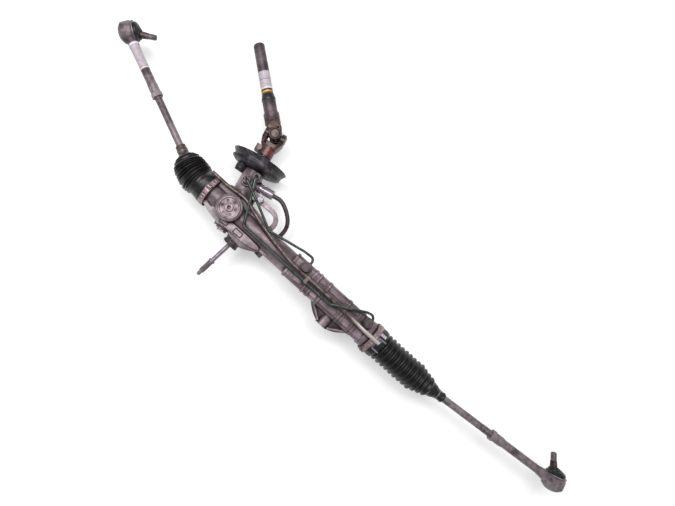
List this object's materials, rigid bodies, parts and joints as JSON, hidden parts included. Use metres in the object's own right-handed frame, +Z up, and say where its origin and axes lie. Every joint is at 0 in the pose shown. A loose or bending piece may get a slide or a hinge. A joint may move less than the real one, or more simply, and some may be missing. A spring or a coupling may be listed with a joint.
{
  "type": "steering rack",
  "caption": "Hydraulic rack-and-pinion steering gear with cast housing, folded boots, tie rods with ball-stud ends, rotary valve, fluid pipes and an intermediate shaft with a universal joint.",
  "frame": {"origin": "mouth of the far-side mount's bore, on its axis", "axes": "+X along the rack from the pinion end to the far end, +Y from the mounts toward the steering column, +Z up through the yoke plug"},
  "size_m": [1.233, 0.4199, 0.115],
  "materials": {
    "cast_aluminium": "as-cast, oxidised and oily",
    "plug_aluminium": "turned, dull",
    "bright_steel": "ground",
    "forged_steel": "forged, oily brown",
    "rod_steel": "bare steel gone dull grey brown",
    "shaft_steel": "drawn, dark",
    "plated_steel": "zinc plated, worn",
    "line_steel": "dark coated pipe",
    "black_rubber": "moulded, dusty",
    "black_plastic": "moulded, matt",
    "pale_plastic": "bearing liner",
    "bronze": "bearing bronze"
  },
  "bodies": {
    "housing": {"cylinder_unions": "plated_steel", "dust_cover": "black_plastic", "far_mount_sleeve": "plated_steel", "hose_coupling": "plated_steel", "hose_fitting": "plated_steel", "housing_bolts": "plated_steel", "inner_cylinder_seal": "black_rubber", "input_shaft_bearing": "bronze", "left_boot": "black_rubber", "left_boot_clamp": "plated_steel", "line_union_nuts": "plated_steel", "lower_pinion_bearing": "bright_steel", "mount_bolt": "plated_steel", "mount_bush": "black_rubber", "neck_seal": "black_rubber", "pinion_end_cap": "plated_steel", "pipe_clip": "black_plastic", "pressure_hose": "black_rubber", "rack_end_bushing": "pale_plastic", "rack_housing": "cast_aluminium", "rack_yoke": "plug_aluminium", "right_boot": "black_rubber", "right_boot_clamp": "plated_steel", "transfer_line_a": "line_steel", "transfer_line_b": "line_steel", "upper_pinion_bearing": "bright_steel", "valve_housing": "cast_aluminium", "vent_tube": "plated_steel", "yoke_plug": "plug_aluminium", "yoke_spring": "bright_steel"},
    "rack": {"rack_bar": "bright_steel", "rack_piston": "bright_steel", "left_inner_socket": "forged_steel", "right_inner_socket": "forged_steel"},
    "pinion": {"pinion_shaft": "bright_steel", "valve_sleeve": "bright_steel", "input_shaft": "bright_steel", "lower_fork": "forged_steel", "pinch_bolt": "plated_steel", "lower_fork_cups": "bright_steel"},
    "cross": {"joint_cross": "forged_steel"},
    "shaft_tube": {"upper_yoke": "forged_steel", "upper_yoke_cups": "bright_steel"},
    "shaft_end": {"sliding_shaft": "shaft_steel"},
    "left_ball_seat": {"left_inner_ball_liner": "pale_plastic"},
    "left_rod": {"left_tie_rod": "rod_steel", "left_jam_nut": "plated_steel", "left_rod_end": "rod_steel", "left_boot_clip": "plated_steel", "left_stud_boot": "black_rubber"},
    "left_stud_seat": {"left_stud_liner": "pale_plastic"},
    "left_stud": {"left_ball_stud": "forged_steel"},
    "right_ball_seat": {"right_inner_ball_liner": "pale_plastic"},
    "right_rod": {"right_tie_rod": "rod_steel", "right_jam_nut": "plated_steel", "right_rod_end": "rod_steel", "right_boot_clip": "plated_steel", "right_stud_boot": "black_rubber"},
    "right_stud_seat": {"right_stud_liner": "pale_plastic"},
    "right_stud": {"right_ball_stud": "forged_steel"}
  },
  "joints": [
    {"name": "rack_slide", "type": "slide", "parent": "housing", "child": "rack", "axis": [1, 0, 0], "range_m": [-0.092, 0.024], "deforming": ["left_boot", "right_boot"]},
    {"name": "pinion_turn", "type": "hinge", "parent": "housing", "child": "pinion", "pos_m": [-0.276, 0.048, -0.0144], "axis": [-0.2164, 0.9763, 0], "range_deg": [-806, 211]},
    {"name": "joint_lower_pivot", "type": "hinge", "parent": "pinion", "child": "cross", "pos_m": [-0.31258, 0.21299, -0.0144], "axis": [0.9763, 0.2164, 0], "range_deg": [-35, 35]},
    {"name": "joint_upper_pivot", "type": "hinge", "parent": "cross", "child": "shaft_tube", "pos_m": [-0.31258, 0.21299, -0.0144], "axis": [0, 0, 1], "range_deg": [-80, 4]},
    {"name": "shaft_slip", "type": "slide", "parent": "shaft_tube", "child": "shaft_end", "axis": [-0.7934, 0.6088, 0], "range_m": [-0.008, 0.015]},
    {"name": "left_rod_swing", "type": "hinge", "parent": "rack", "child": "left_ball_seat", "pos_m": [-0.373, 0.048, 0], "axis": [0, 0, 1], "range_deg": [-4, 50]},
    {"name": "left_rod_tilt", "type": "hinge", "parent": "left_ball_seat", "child": "left_rod", "pos_m": [-0.373, 0.048, 0], "axis": [-0.3907, -0.9205, 0], "range_deg": [-20, 20]},
    {"name": "left_stud_swing", "type": "hinge", "parent": "left_rod", "child": "left_stud_seat", "pos_m": [-0.65467, 0.16756, 0], "axis": [0, 0, 1], "range_deg": [-2, 46], "deforming": ["left_stud_boot"]},
    {"name": "left_stud_tilt", "type": "hinge", "parent": "left_stud_seat", "child": "left_stud", "pos_m": [-0.65467, 0.16756, 0], "axis": [-0.515, 0.8572, 0], "range_deg": [-12, 12]},
    {"name": "right_rod_swing", "type": "hinge", "parent": "rack", "child": "right_ball_seat", "pos_m": [0.197, 0.048, 0], "axis": [0, 0, 1], "range_deg": [-32.4, 21.6]},
    {"name": "right_rod_tilt", "type": "hinge", "parent": "right_ball_seat", "child": "right_rod", "pos_m": [0.197, 0.048, 0], "axis": [-0.0941, 0.9956, 0], "range_deg": [-20, 20]},
    {"name": "right_stud_swing", "type": "hinge", "parent": "right_rod", "child": "right_stud_seat", "pos_m": [0.53549, 0.08, 0], "axis": [0, 0, 1], "range_deg": [-46, 2], "deforming": ["right_stud_boot"]},
    {"name": "right_stud_tilt", "type": "hinge", "parent": "right_stud_seat", "child": "right_stud", "pos_m": [0.53549, 0.08, 0], "axis": [-0.7501, -0.6613, 0], "range_deg": [-12, 12]}
  ],
  "couplings": [
    {"joint": "pinion_turn", "follows": "rack_slide", "rad_per_m": 152.55}
  ]
}
